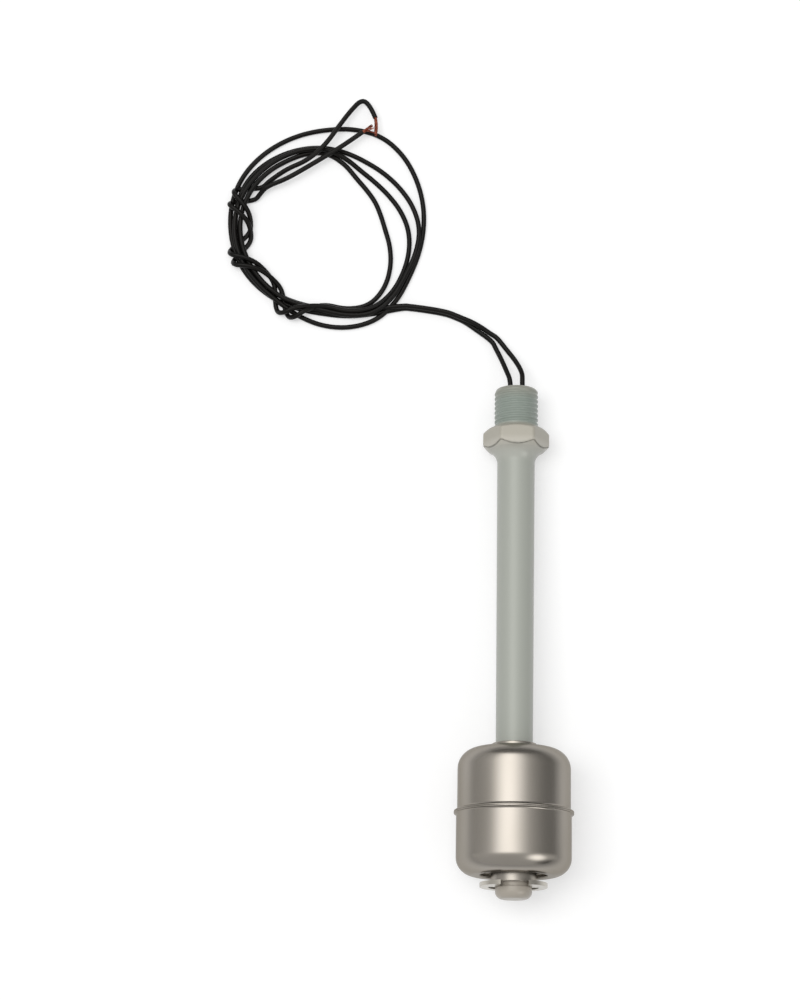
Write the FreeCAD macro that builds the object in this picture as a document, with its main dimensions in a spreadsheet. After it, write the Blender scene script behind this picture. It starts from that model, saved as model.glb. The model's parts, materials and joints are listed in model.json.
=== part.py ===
"""Float level switch: a stainless float that slides on a stem and works a sealed reed switch.

The switch is drawn about its own axis: local Z runs along the stem, from the retaining clip
towards the thread, with zero at the float's welded seam.  It lies on its side on a flat surface,
resting on the float's flange and on one flat of the hexagonal collar, so every sub-part shares one
placement that turns local Z towards +Y and leans it down by the angle between those two supports.
Lengths are in millimetres and angles in degrees.
"""
import FreeCAD, Part
import math
import os

import Sketcher

SIZES = [
    ("thread_dia", 9.525, "major diameter of the mounting thread, 3/8 inch"),
    ("thread_length", 8.6, "thread, from the collar to the end of the stem"),
    ("thread_chamfer", 1.03, "length of the chamfer that starts the thread"),
    ("thread_start_dia", 7.9, "diameter at the end of that chamfer"),
    ("hex_flats", 12.7, "collar across flats, 1/2 inch"),
    ("hex_length", 5.3, "collar length along the stem"),
    ("top_bevel_angle", 30.0, "bevel of the hexagon's corners on the thread side"),
    ("under_bevel_length", 1.25, "length of the corner bevel on the float side"),
    ("under_face_dia", 12.2, "flat face under the collar, inside its bevel"),
    ("flare_length", 3.0, "length of the hollow curve from the stem to the collar"),
    ("stem_reach", 79.2, "float seam to the face under the collar, float at rest"),
    ("stem_top_dia", 8.16, "stem diameter under the collar"),
    ("stem_tip_dia", 7.78, "stem diameter at the clip end"),
    ("tip_reach", 18.2, "float seam to the closed tip of the stem"),
    ("tip_round", 1.6, "rounding of the tip"),
    ("bore_dia", 4.8, "blind bore that holds the reed switch"),
    ("bore_end_reach", 12.0, "float seam to the blind end of the bore"),
    ("drill_angle", 118.0, "angle of the drill point at the blind end"),
    ("clip_dia", 14.3, "outer diameter of the retaining clip"),
    ("clip_thickness", 0.9, "thickness of the clip"),
    ("clip_opening", 5.84, "mouth of the clip"),
    ("clip_relief_dia", 10.6, "hollows between the three lugs of the clip"),
    ("prong_angle", 85.0, "from the middle of the mouth to the inner end of a prong"),
    ("back_lug_angle", 160.0, "from the middle of the mouth to the back lug"),
    ("groove_dia", 7.0, "bottom of the clip's groove"),
    ("groove_play", 0.06, "spare width of the groove"),
    ("rest_play", 0.02, "play between the float's tube and the clip at rest"),
    ("flange_dia", 25.4, "welded flange of the float, 1 inch"),
    ("flange_land", 0.1, "flat rim of the flange outside its bend"),
    ("shell_wall", 0.3, "sheet thickness of the float's shells"),
    ("upper_ledge", 0.7, "flange standing out from the upper shell"),
    ("upper_height", 13.55, "seam to the top of the upper shell"),
    ("upper_shoulder", 4.3, "outer radius of the upper shoulder"),
    ("lower_ledge", 0.5, "flange standing out from the lower shell"),
    ("lower_height", 13.3, "seam to the bottom of the lower shell"),
    ("lower_shoulder", 3.8, "outer radius of the lower shoulder"),
    ("recess_dia", 14.1, "dished recess in the bottom of the float"),
    ("recess_depth", 1.2, "depth of that recess"),
    ("tube_bore", 8.9, "bore of the float's inner tube"),
    ("tube_wall", 0.33, "wall of the inner tube"),
    ("tube_lip", 0.8, "tube standing proud of the upper shell"),
    ("tube_below", 14.79, "seam to the lower end of the tube"),
    ("tube_edge", 0.12, "broken edges at the tube's ends"),
    ("magnet_dia", 14.0, "ring magnet"),
    ("magnet_length", 5.0, "length of the magnet"),
    ("magnet_play", 0.05, "play between the magnet and the tube"),
    ("retainer_dia", 11.6, "push-on rings that hold the magnet"),
    ("retainer_length", 1.0, "length of such a ring"),
    ("wire_dia", 1.1, "insulated wire"),
    ("conductor_dia", 0.7, "stranded copper inside the wire"),
    ("wire_offset", 1.3, "each wire's distance from the axis inside the stem"),
    ("glass_dia", 2.1, "glass envelope of the reed switch"),
    ("glass_wall", 0.35, "wall of the glass"),
    ("glass_length", 14.0, "length of the glass"),
    ("glass_seal", 1.6, "solid glass at each end"),
    ("reed_height", 12.0, "seam to the middle of the reed switch"),
    ("lead_dia", 0.5, "round leads of the reed switch"),
    ("blade_width", 0.9, "flattened contact blade"),
    ("blade_thickness", 0.2, "thickness of a blade"),
    ("blade_overlap", 1.0, "overlap of the two blades"),
    ("contact_gap", 0.06, "open gap between the blades"),
    ("lead_below", 2.0, "lower lead outside the glass"),
    ("joint_height", 23.5, "seam to the middle of the solder joints"),
    ("solder_length", 2.0, "length of a solder joint"),
    ("solder_wall", 0.15, "solder round the thicker conductor"),
    ("strip_length", 1.3, "insulation stripped at each solder joint"),
    ("sleeve_length", 6.0, "heat-shrink sleeve over a solder joint"),
    ("sleeve_wall", 0.25, "wall of the sleeve"),
    ("potting_length", 8.0, "resin that seals the bore"),
    ("potting_recess", 0.3, "resin below the end of the thread"),
    ("coil_height", 2.4, "loose coil of wire, two layers high"),
    ("coil_edge", 0.6, "bevel of the coil's rims"),
    ("coil_x", -43.3, "centre of the coil across the stem"),
    ("coil_y", 92.8, "centre of the coil along the stem"),
]

# How far the loose coil reaches from its centre, every 22.5 degrees from +X towards +Y.
COIL_OUTER = [23.1, 24.0, 25.1, 25.0, 23.6, 22.6, 22.3, 21.9, 21.1, 20.6, 20.5, 20.8, 22.2, 24.3, 23.4, 22.9]
COIL_INNER = [13.2, 12.5, 12.7, 14.6, 16.5, 16.2, 15.5, 16.0, 16.0, 16.0, 14.8, 15.8, 15.7, 17.4, 18.6, 15.2]

# Wires as they lie: points of the straight runs, whose corners are rounded by tangent arcs.
# Each lead leaves the end of the stem along the axis, comes down to the surface and joins the coil.
LEAD_A = [(-1.6, 61.6, 4.5), (-3.6, 64.9, 2.4), (-6.4, 68.0, 0.9), (-10.2, 70.8, 0.6),
          (-15.0, 72.7, 0.62), (-20.6, 73.8, 0.6), (-26.0, 74.2, 0.7), (-30.0, 73.7, 1.0)]
LEAD_B = [(1.5, 61.9, 4.4), (0.1, 65.1, 2.6), (-2.9, 68.3, 1.0), (-7.4, 71.5, 0.65),
          (-12.6, 73.8, 0.6), (-18.6, 75.0, 0.62), (-24.4, 75.6, 0.7), (-29.0, 75.9, 1.1)]
# Each tail rises out of the coil, crosses its top and ends in bare copper.
TAIL_A = [(-55.4, 104.9, 1.3), (-51.6, 106.0, 2.6), (-47.2, 107.8, 3.05), (-43.3, 111.4, 3.0),
          (-40.2, 115.8, 2.95), (-37.4, 119.4, 2.3), (-34.9, 122.0, 1.7), (-32.5, 120.4, 1.8),
          (-31.7, 117.8, 2.2)]
COPPER_A = [(-31.7, 117.8, 2.2), (-31.25, 116.3375, 2.425), (-31.7, 114.2, 2.85)]
TAIL_B = [(-59.2, 100.6, 1.3), (-56.0, 101.9, 2.5), (-51.9, 103.4, 3.0), (-47.8, 105.9, 3.05),
          (-43.6, 108.6, 3.0), (-39.4, 111.3, 2.98), (-35.1, 114.4, 3.0)]
COPPER_B = [(-35.1, 114.4, 3.0), (-33.885, 115.276, 3.0057), (-32.6, 116.1, 2.98)]

DOC = FreeCAD.newDocument("FloatLevelSwitch")
SHEET = DOC.addObject("Spreadsheet::Sheet", "Sizes")
for number, (alias, size, note) in enumerate(SIZES, start=1):
    SHEET.set(f"A{number}", note)
    SHEET.set(f"B{number}", str(size))
    SHEET.setAlias(f"B{number}", alias)
DOC.recompute()


def formula(text):
    """Turn the names of sizes in a formula into the sheet's cells."""
    for alias in sorted((row[0] for row in SIZES), key=len, reverse=True):
        text = text.replace(f"{{{alias}}}", f"Sizes.{alias}")
    return text


# Places worked out from the sizes, as formulas of the sheet.
FLANGE_R = formula("({flange_dia} / 2)")
UPPER_R = formula("({flange_dia} / 2 - {upper_ledge})")
LOWER_R = formula("({flange_dia} / 2 - {lower_ledge})")
TUBE_R = formula("({tube_bore} / 2)")
TUBE_OUT = formula("({tube_bore} / 2 + {tube_wall})")
RECESS_R = formula("({recess_dia} / 2)")
THREAD_R = formula("({thread_dia} / 2)")
CORNER_R = formula("({hex_flats} / 2 / cos(30))")
STEM_TOP_R = formula("({stem_top_dia} / 2)")
STEM_TIP_R = formula("({stem_tip_dia} / 2)")
UNDER_R = formula("({under_face_dia} / 2)")
COLLAR_TOP = formula("({stem_reach} + {hex_length})")
STEM_END = formula("({stem_reach} + {hex_length} + {thread_length})")
CLIP_TOP = formula("(-{tube_below} - {rest_play})")
CLIP_R = formula("({clip_dia} / 2)")
GROOVE_R = formula("({groove_dia} / 2)")
WIRE_R = formula("({wire_dia} / 2)")
LEAD_R = formula("({lead_dia} / 2)")
GLASS_LOW = formula("({reed_height} - {glass_length} / 2)")
GLASS_HIGH = formula("({reed_height} + {glass_length} / 2)")
# The flat that meets the surface ends where the bevel crosses it.
FLAT_END = formula(f"({COLLAR_TOP} - ({{hex_flats}} - {{thread_dia}}) / 2 * tan({{top_bevel_angle}}))")
LEAN = formula(f"(atan(({{flange_dia}} - {{hex_flats}}) / 2 / ({FLAT_END} - {{shell_wall}})))")
SEAM_HEIGHT = formula(f"({FLANGE_R} * cos({LEAN}) + {{shell_wall}} * sin({LEAN}))")
# The origin is under the middle of the switch, so the seam lies off it by half the difference.
REACH_FORE = formula(f"({STEM_END} * cos({LEAN}) + {{thread_start_dia}} / 2 * sin({LEAN}))")
REACH_AFT = formula(
    f"(({{tip_reach}} - {{tip_round}}) * cos({LEAN}) + ({STEM_TIP_R} - {{tip_round}}) * sin({LEAN}) + {{tip_round}})"
)
SEAM_PLACE = f"((({REACH_AFT}) - ({REACH_FORE})) / 2)"


def measure(text):
    """Work out a formula of the sheet as a plain number."""
    return float(SHEET.evalExpression(formula(text)))


def seat(piece, across="0"):
    """Give a sub-part the placement of the lying switch, moved across the axis where it must be."""
    piece.Placement.Rotation = FreeCAD.Rotation(FreeCAD.Vector(-1, 0, 0), 90)
    piece.setExpression("Placement.Rotation.Angle", f"90 deg + {LEAN}")
    piece.setExpression("Placement.Base.x", formula(across))
    piece.setExpression("Placement.Base.y", SEAM_PLACE)
    piece.setExpression("Placement.Base.z", SEAM_HEIGHT)
    return piece


def new_body(label):
    """Start a body whose label names its file."""
    body = DOC.addObject("PartDesign::Body", label)
    body.Label = label
    return body


def new_sketch(body, name, role, height="0"):
    """Start a sketch on one of the body's own planes, raised along that plane's normal."""
    sketch = body.newObject("Sketcher::SketchObject", name)
    plane = next(item for item in body.Origin.OriginFeatures if item.Role == role)
    sketch.AttachmentSupport = [(plane, "")]
    sketch.MapMode = "FlatFace"
    sketch.setExpression("AttachmentOffset.Base.z", formula(height))
    return sketch


def pin_point(sketch, item, end, place):
    """Hold one point of a sketch at a place given by two formulas."""
    for kind, axis, text in (("DistanceX", -2, place[0]), ("DistanceY", -1, place[1])):
        if text == "0":
            sketch.addConstraint(Sketcher.Constraint("PointOnObject", item, end, axis))
            continue
        index = sketch.addConstraint(Sketcher.Constraint(kind, -1, 1, item, end, measure(text)))
        sketch.setExpression(f"Constraints[{index}]", formula(text))


def add_arc(sketch, start, finish, radius, side):
    """Add the arc from start to finish, bulging to the left (side 1) or right (side -1) of its chord."""
    chord = finish - start
    left = FreeCAD.Vector(-chord.y, chord.x, 0).normalize()
    drop = math.sqrt(max(radius**2 - (chord.Length / 2) ** 2, 0.0))
    centre = (start + finish) / 2 - left * side * drop
    angles = [math.atan2(point.y - centre.y, point.x - centre.x) for point in (start, finish)]
    if side > 0:
        angles.reverse()
    circle = Part.Circle(centre, FreeCAD.Vector(0, 0, 1), radius)
    item = sketch.addGeometry(Part.ArcOfCircle(circle, angles[0], angles[1]), False)
    return (item, 2, 1) if side > 0 else (item, 1, 2)


def draw_path(sketch, corners, closed=True):
    """Draw lines and arcs through corners.

    A corner is (x, y), reached by a line, or (x, y, radius, side), reached by an arc.
    """
    points = [FreeCAD.Vector(measure(corner[0]), measure(corner[1]), 0) for corner in corners]
    ends = []
    for index in range(0 if closed else 1, len(corners)):
        corner = corners[index]
        start, finish = points[index - 1], points[index]
        if len(corner) == 2:
            ends.append((sketch.addGeometry(Part.LineSegment(start, finish), False), 1, 2))
        else:
            ends.append(add_arc(sketch, start, finish, measure(corner[2]), corner[3]))
            bend = sketch.addConstraint(Sketcher.Constraint("Radius", ends[-1][0], measure(corner[2])))
            sketch.setExpression(f"Constraints[{bend}]", formula(corner[2]))
        pin_point(sketch, ends[-1][0], ends[-1][2], corner)
    if not closed:
        pin_point(sketch, ends[0][0], ends[0][1], corners[0])
    for before, after in zip(ends, ends[1:] + ends[:1] if closed else ends[1:]):
        sketch.addConstraint(Sketcher.Constraint("Coincident", before[0], before[2], after[0], after[1]))


def draw_circle(sketch, place, radius):
    """Draw a circle whose centre and radius are formulas."""
    centre = FreeCAD.Vector(measure(place[0]), measure(place[1]), 0)
    item = sketch.addGeometry(Part.Circle(centre, FreeCAD.Vector(0, 0, 1), measure(radius)), False)
    pin_point(sketch, item, 3, place)
    index = sketch.addConstraint(Sketcher.Constraint("Radius", item, measure(radius)))
    sketch.setExpression(f"Constraints[{index}]", formula(radius))


def turn(body, name, corners, kind="Revolution"):
    """Revolve an outline of (radius, height) corners about the axis, or groove the body with it."""
    sketch = new_sketch(body, f"{name}Profile", "XZ_Plane")
    draw_path(sketch, corners)
    feature = body.newObject(f"PartDesign::{kind}", name)
    feature.Profile = sketch
    feature.ReferenceAxis = (sketch, ["V_Axis"])
    feature.Angle = 360
    return feature


def extrude(body, name, sketch, length, kind="Pad"):
    """Pad a sketch upwards, or pocket the body downwards from it."""
    feature = body.newObject(f"PartDesign::{kind}", name)
    feature.Profile = sketch
    feature.setExpression("Length", formula(length))
    return feature


def make_stem():
    """Turned stem with its thread, hexagonal collar, clip groove and blind bore."""
    body = new_body("stem_body")
    flare = f"({UNDER_R} - {STEM_TOP_R})"
    turn(body, "TurnedBar", [
        ("0", "-{tip_reach}"),
        (f"{STEM_TIP_R} - {{tip_round}}", "-{tip_reach}"),
        (STEM_TIP_R, "-{tip_reach} + {tip_round}", "{tip_round}", -1),
        (STEM_TOP_R, "{stem_reach} - {flare_length}"),
        (UNDER_R, "{stem_reach}", f"({flare}^2 + {{flare_length}}^2) / (2 * {flare})", 1),
        (CORNER_R, "{stem_reach} + {under_bevel_length}"),
        (CORNER_R, f"{COLLAR_TOP} - ({CORNER_R} - {THREAD_R}) * tan({{top_bevel_angle}})"),
        (THREAD_R, COLLAR_TOP),
        (THREAD_R, f"{STEM_END} - {{thread_chamfer}}"),
        ("{thread_start_dia} / 2", STEM_END),
        ("0", STEM_END),
    ])
    hexagon = new_sketch(body, "CollarFlats", "XY_Plane", COLLAR_TOP)
    draw_circle(hexagon, ("0", "0"), "{hex_flats}")
    corners = [(f"{CORNER_R} * cos({60 * step})", f"{CORNER_R} * sin({60 * step})") for step in range(6)]
    corners[0] = (CORNER_R, "0")
    corners[3] = (f"-{CORNER_R}", "0")
    draw_path(hexagon, corners)
    extrude(body, "CollarHexagon", hexagon, "{hex_length}", "Pocket")
    bore = new_sketch(body, "BoreMouth", "XY_Plane", STEM_END)
    draw_circle(bore, ("0", "0"), "{bore_dia} / 2")
    extrude(body, "ReedBore", bore, f"{STEM_END} + {{bore_end_reach}}", "Pocket")
    point = f"-{{bore_end_reach}} - {{bore_dia}} / 2 / tan({{drill_angle}} / 2)"
    turn(body, "DrillPoint", [
        ("0", point),
        ("{bore_dia} / 2", "-{bore_end_reach}"),
        ("0", "-{bore_end_reach}"),
    ], "Groove")
    groove_top = f"{CLIP_TOP} + {{groove_play}}"
    turn(body, "ClipGroove", [
        (GROOVE_R, f"{CLIP_TOP} - {{clip_thickness}}"),
        ("{stem_top_dia}", f"{CLIP_TOP} - {{clip_thickness}}"),
        ("{stem_top_dia}", groove_top),
        (GROOVE_R, groove_top),
    ], "Groove")
    return seat(body)


def make_clip():
    """Spring clip: a flat ring with a mouth, two prongs, a back lug and hollows between them.

    The mouth faces local -Y, which is upwards as the switch lies.
    """
    body = new_body("retaining_clip")
    mouth = "{clip_opening} / 2"
    relief = "({clip_relief_dia} / 2)"
    side = [
        (mouth, f"-sqrt({CLIP_R}^2 - ({mouth})^2)"),
        (mouth, f"-sqrt({GROOVE_R}^2 - ({mouth})^2)"),
        (f"{GROOVE_R} * sin({{prong_angle}})", f"-{GROOVE_R} * cos({{prong_angle}})", GROOVE_R, -1),
        (f"{relief} * sin({{prong_angle}})", f"-{relief} * cos({{prong_angle}})"),
        (f"{relief} * sin({{back_lug_angle}})", f"-{relief} * cos({{back_lug_angle}})", relief, -1),
        (f"{GROOVE_R} * sin({{back_lug_angle}})", f"-{GROOVE_R} * cos({{back_lug_angle}})"),
    ]
    # The other side is the same outline walked backwards, with x the other way.
    bends = [corner[2:] for corner in side]
    other = []
    for index in range(len(side) - 1, -1, -1):
        arrives = (GROOVE_R, -1) if index == len(side) - 1 else bends[index + 1]
        other.append((f"-({side[index][0]})", side[index][1]) + tuple(arrives))
    # The outer rim closes the outline the long way round, in two arcs that meet at the back.
    outline = [("0", CLIP_R, CLIP_R, 1)] + [side[0] + (CLIP_R, 1)] + side[1:] + other
    sketch = new_sketch(body, "ClipOutline", "XY_Plane", f"{CLIP_TOP} - {{clip_thickness}}")
    draw_path(sketch, outline)
    extrude(body, "ClipBlank", sketch, "{clip_thickness}")
    return seat(body)


def make_upper_shell():
    """Pressed upper half of the float: flange, wall, shoulder and a flat top round the tube."""
    body = new_body("float_upper_shell")
    bend = formula("({upper_ledge} - {flange_land})")
    wall = "{shell_wall}"
    turn(body, "UpperPressing", [
        (FLANGE_R, "0"),
        (FLANGE_R, wall),
        (f"{UPPER_R} + {bend}", wall),
        (UPPER_R, f"{wall} + {bend}", bend, 1),
        (UPPER_R, "{upper_height} - {upper_shoulder}"),
        (f"{UPPER_R} - {{upper_shoulder}}", "{upper_height}", "{upper_shoulder}", -1),
        (TUBE_OUT, "{upper_height}"),
        (TUBE_OUT, f"{{upper_height}} - {wall}"),
        (f"{UPPER_R} - {{upper_shoulder}}", f"{{upper_height}} - {wall}"),
        (f"{UPPER_R} - {wall}", "{upper_height} - {upper_shoulder}", f"{{upper_shoulder}} - {wall}", 1),
        (f"{UPPER_R} - {wall}", f"{wall} + {bend}"),
        (f"{UPPER_R} + {bend}", "0", f"{bend} + {wall}", -1),
    ])
    return seat(body)


def make_lower_shell():
    """Pressed lower half of the float, with a dished recess round the tube."""
    body = new_body("float_lower_shell")
    bend = formula("({lower_ledge} - {flange_land})")
    wall = "{shell_wall}"
    dish = "(-{lower_height} + {recess_depth})"
    turn(body, "LowerPressing", [
        (FLANGE_R, "0"),
        (f"{LOWER_R} + {bend}", "0"),
        (f"{LOWER_R} - {wall}", f"-{wall} - {bend}", f"{bend} + {wall}", -1),
        (f"{LOWER_R} - {wall}", "-{lower_height} + {lower_shoulder}"),
        (f"{LOWER_R} - {{lower_shoulder}}", f"-{{lower_height}} + {wall}", f"{{lower_shoulder}} - {wall}", 1),
        (f"{RECESS_R} + {wall}", f"-{{lower_height}} + {wall}"),
        (f"{RECESS_R} + {wall}", f"{dish} + {wall}"),
        (TUBE_OUT, f"{dish} + {wall}"),
        (TUBE_OUT, dish),
        (RECESS_R, dish),
        (RECESS_R, "-{lower_height}"),
        (f"{LOWER_R} - {{lower_shoulder}}", "-{lower_height}"),
        (LOWER_R, "-{lower_height} + {lower_shoulder}", "{lower_shoulder}", -1),
        (LOWER_R, f"-{wall} - {bend}"),
        (f"{LOWER_R} + {bend}", f"-{wall}", bend, 1),
        (FLANGE_R, f"-{wall}"),
    ])
    return seat(body)


def make_tube():
    """Inner tube of the float, which runs on the stem; its ends stand proud and are eased."""
    body = new_body("float_inner_tube")
    top = "{upper_height} + {tube_lip}"
    turn(body, "TubeWall", [
        (TUBE_R, "-{tube_below} + {tube_edge}"),
        (f"{TUBE_R} + {{tube_edge}}", "-{tube_below}"),
        (TUBE_OUT, "-{tube_below}"),
        (TUBE_OUT, f"{top} - {{tube_edge}}"),
        (f"{TUBE_OUT} - {{tube_edge}}", top),
        (f"{TUBE_R} + {{tube_edge}}", top),
        (TUBE_R, f"{top} - {{tube_edge}}"),
    ])
    return seat(body)


def make_ring(label, name, inner, outer, low, high, across="0"):
    """A plain turned ring or sleeve between two heights."""
    body = new_body(label)
    turn(body, name, [(inner, low), (outer, low), (outer, high), (inner, high)])
    return seat(body, across)


def make_magnet_and_retainers():
    """Ring magnet on the tube, held between two push-on rings."""
    half = "{magnet_length} / 2"
    far = f"{half} + {{retainer_length}}"
    reach = "{retainer_dia} / 2"
    make_ring("ring_magnet", "MagnetRing", f"{TUBE_OUT} + {{magnet_play}}", "{magnet_dia} / 2", f"-{half}", half)
    make_ring("magnet_retainer_upper", "UpperRetainer", TUBE_OUT, reach, half, far)
    make_ring("magnet_retainer_lower", "LowerRetainer", TUBE_OUT, reach, f"-({far})", f"-{half}")


def make_reed_glass():
    """Glass envelope of the reed switch, drawn down to a solid seal round each lead."""
    body = new_body("reed_glass")
    inside = "{glass_dia} / 2 - {glass_wall}"
    turn(body, "GlassTube", [
        (LEAD_R, GLASS_LOW),
        (inside, GLASS_LOW),
        ("{glass_dia} / 2", f"{GLASS_LOW} + {{glass_wall}}", "{glass_wall}", -1),
        ("{glass_dia} / 2", f"{GLASS_HIGH} - {{glass_wall}}"),
        (inside, GLASS_HIGH, "{glass_wall}", -1),
        (LEAD_R, GLASS_HIGH),
        (LEAD_R, f"{GLASS_HIGH} - {{glass_seal}}"),
        (inside, f"{GLASS_HIGH} - {{glass_seal}}"),
        (inside, f"{GLASS_LOW} + {{glass_seal}}"),
        (LEAD_R, f"{GLASS_LOW} + {{glass_seal}}"),
    ])
    return seat(body, "-{wire_offset}")


def make_blade(label, side, blade_low, blade_high, lead_low, lead_high):
    """Reed: a round lead through the seal, flattened inside the glass to a contact blade."""
    body = new_body(label)
    near = "{contact_gap} / 2"
    far = f"{near} + {{blade_thickness}}"
    low, high = (near, far) if side > 0 else (f"-({far})", f"-({near})")
    flat = new_sketch(body, "BladeSection", "XY_Plane", blade_low)
    half = "{blade_width} / 2"
    draw_path(flat, [(f"-{half}", low), (half, low), (half, high), (f"-{half}", high)])
    extrude(body, "Blade", flat, f"{blade_high} - ({blade_low})")
    round_end = new_sketch(body, "LeadSection", "XY_Plane", lead_low)
    draw_circle(round_end, ("0", "0"), LEAD_R)
    extrude(body, "Lead", round_end, f"{lead_high} - ({lead_low})")
    return seat(body, "-{wire_offset}")


def make_blades():
    """The two reeds, which overlap at the middle of the glass with an open gap."""
    lap = "{blade_overlap} / 2"
    seal = "{glass_seal}"
    make_blade("reed_blade_upper", 1, f"{{reed_height}} - {lap}", f"{GLASS_HIGH} - {seal}",
               f"{GLASS_HIGH} - {seal}", "{joint_height}")
    make_blade("reed_blade_lower", -1, f"{GLASS_LOW} + {seal}", f"{{reed_height}} + {lap}",
               f"{GLASS_LOW} - {{lead_below}}", f"{GLASS_LOW} + {seal}")


def make_return_wire():
    """Bare wire that turns round below the glass and runs back up beside it."""
    body = new_body("return_wire")
    low = f"{GLASS_LOW} - {{lead_below}}"
    section = new_sketch(body, "WireSection", "XY_Plane", low)
    draw_circle(section, ("-{wire_offset}", "0"), LEAD_R)
    route = new_sketch(body, "WireRoute", "XZ_Plane")
    draw_path(route, [
        ("-{wire_offset}", low),
        ("0", f"{low} - {{wire_offset}}", "{wire_offset}", -1),
        ("{wire_offset}", low, "{wire_offset}", -1),
        ("{wire_offset}", "{joint_height}"),
    ], closed=False)
    pipe = body.newObject("PartDesign::AdditivePipe", "BentWire")
    pipe.Profile = section
    pipe.Spine = (route, [f"Edge{number}" for number in (1, 2, 3)])
    return seat(body)


def make_inner_wiring(letter, across):
    """One wire inside the stem: solder joint, sleeve and insulated wire up to the thread's end."""
    core = "{conductor_dia} / 2"
    low = "{joint_height} - {solder_length} / 2"
    high = "{joint_height} + {solder_length} / 2"
    skin = f"({core} + {{solder_wall}})"
    solder = new_body(f"solder_joint_{letter}")
    turn(solder, "SolderBarrel", [
        (LEAD_R, low),
        (skin, low),
        (skin, high),
        (core, high),
        (core, "{joint_height}"),
        (LEAD_R, "{joint_height}"),
    ])
    seat(solder, across)
    sleeve_low = "{joint_height} - {sleeve_length} / 3"
    make_ring(f"heat_shrink_{letter}", "ShrunkSleeve", WIRE_R, f"{WIRE_R} + {{sleeve_wall}}",
              sleeve_low, f"{sleeve_low} + {{sleeve_length}}", across)
    wire = new_body(f"inner_wire_{letter}")
    turn(wire, "StrippedWire", [
        ("0", "{joint_height}"),
        (core, "{joint_height}"),
        (core, "{joint_height} + {strip_length}"),
        (WIRE_R, "{joint_height} + {strip_length}"),
        (WIRE_R, STEM_END),
        ("0", STEM_END),
    ])
    seat(wire, across)


def make_potting():
    """Resin plug that seals the bore round the two wires."""
    body = new_body("potting_plug")
    face = f"{STEM_END} - {{potting_recess}}"
    section = new_sketch(body, "PlugSection", "XY_Plane", f"{face} - {{potting_length}}")
    draw_circle(section, ("0", "0"), "{bore_dia} / 2")
    for side in ("-", ""):
        draw_circle(section, (f"{side}{{wire_offset}}", "0"), WIRE_R)
    extrude(body, "Plug", section, "{potting_length}")
    return seat(body)


def make_coil():
    """Outer shape of the loose coil that the two wires are wound into."""
    body = new_body("wire_coil")
    sketch = new_sketch(body, "CoilOutline", "XY_Plane")
    for reaches in (COIL_OUTER, COIL_INNER):
        points = []
        for index, reach in enumerate(reaches):
            angle = 2 * math.pi * index / len(reaches)
            points.append(FreeCAD.Vector(reach * math.cos(angle), reach * math.sin(angle), 0))
        curve = Part.BSplineCurve()
        curve.interpolate(points, PeriodicFlag=True)
        sketch.addGeometry(curve, False)
    pad = extrude(body, "CoilRing", sketch, "{coil_height}")
    DOC.recompute()
    rims = [f"Edge{number}" for number, edge in enumerate(pad.Shape.Edges, start=1) if edge.BoundBox.ZLength < 1e-6]
    easing = body.newObject("PartDesign::Chamfer", "CoilRims")
    easing.Base = (pad, rims)
    easing.setExpression("Size", formula("{coil_edge}"))
    body.setExpression("Placement.Base.x", formula("{coil_x}"))
    body.setExpression("Placement.Base.y", formula("{coil_y}"))
    return body


def round_route(points):
    """Join the points by straight runs with tangent arcs, and return the edges and the arcs' radii."""
    points = [FreeCAD.Vector(*point) for point in points]
    edges, radii = [], []
    start = points[0]
    for before, corner, after in zip(points, points[1:], points[2:]):
        incoming = (corner - before).normalize()
        outgoing = (after - corner).normalize()
        half_turn = incoming.getAngle(outgoing) / 2
        setback = 0.45 * min((corner - before).Length, (after - corner).Length)
        radii.append(setback / math.tan(half_turn))
        arc_start = corner - incoming * setback
        arc_end = corner + outgoing * setback
        towards = (arc_start + arc_end) / 2 - corner
        distance = radii[-1] / math.cos(half_turn) - radii[-1]
        middle = corner + towards.normalize() * distance
        edges.append(Part.LineSegment(start, arc_start).toShape())
        edges.append(Part.Arc(arc_start, middle, arc_end).toShape())
        start = arc_end
    edges.append(Part.LineSegment(start, points[-1]).toShape())
    return edges, radii


def make_cord(label, points, diameter):
    """A round cord along a route of runs and arcs, as one solid."""
    edges, radii = round_route(points)
    route = Part.Wire(edges)
    heading = edges[0].tangentAt(edges[0].FirstParameter)
    section = Part.Wire([Part.Circle(FreeCAD.Vector(*points[0]), heading, diameter / 2).toShape()])
    solid = route.makePipeShell([section], True, True)
    expected = math.pi * diameter**2 / 4 * route.Length
    print(f"{label}: length {route.Length:.1f}, volume ratio {solid.Volume / expected:.4f}, "
          f"radii {' '.join(f'{radius:.1f}' for radius in radii)}")
    cord = DOC.addObject("Part::Feature", label)
    cord.Label = label
    cord.Shape = solid
    cord.Placement = FreeCAD.Placement()
    return cord


def make_cords():
    """The loose wires: two leads from the stem to the coil, and two tails ending in copper."""
    lean = math.radians(measure(LEAN))
    axis = FreeCAD.Vector(0, math.cos(lean), -math.sin(lean))
    seam = FreeCAD.Vector(0, measure(SEAM_PLACE), measure(SEAM_HEIGHT))
    wire = measure("{wire_dia}")
    copper = measure("{conductor_dia}")
    for letter, side, route in (("a", -1, LEAD_A), ("b", 1, LEAD_B)):
        leaving = seam + axis * measure(STEM_END) + FreeCAD.Vector(side * measure("{wire_offset}"), 0, 0)
        straight = leaving + axis * 3 * wire
        make_cord(f"wire_{letter}_lead", [tuple(leaving), tuple(straight)] + route, wire)
    make_cord("wire_a_tail", TAIL_A, wire)
    make_cord("wire_b_tail", TAIL_B, wire)
    make_cord("wire_a_copper_end", COPPER_A, copper)
    make_cord("wire_b_copper_end", COPPER_B, copper)


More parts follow.
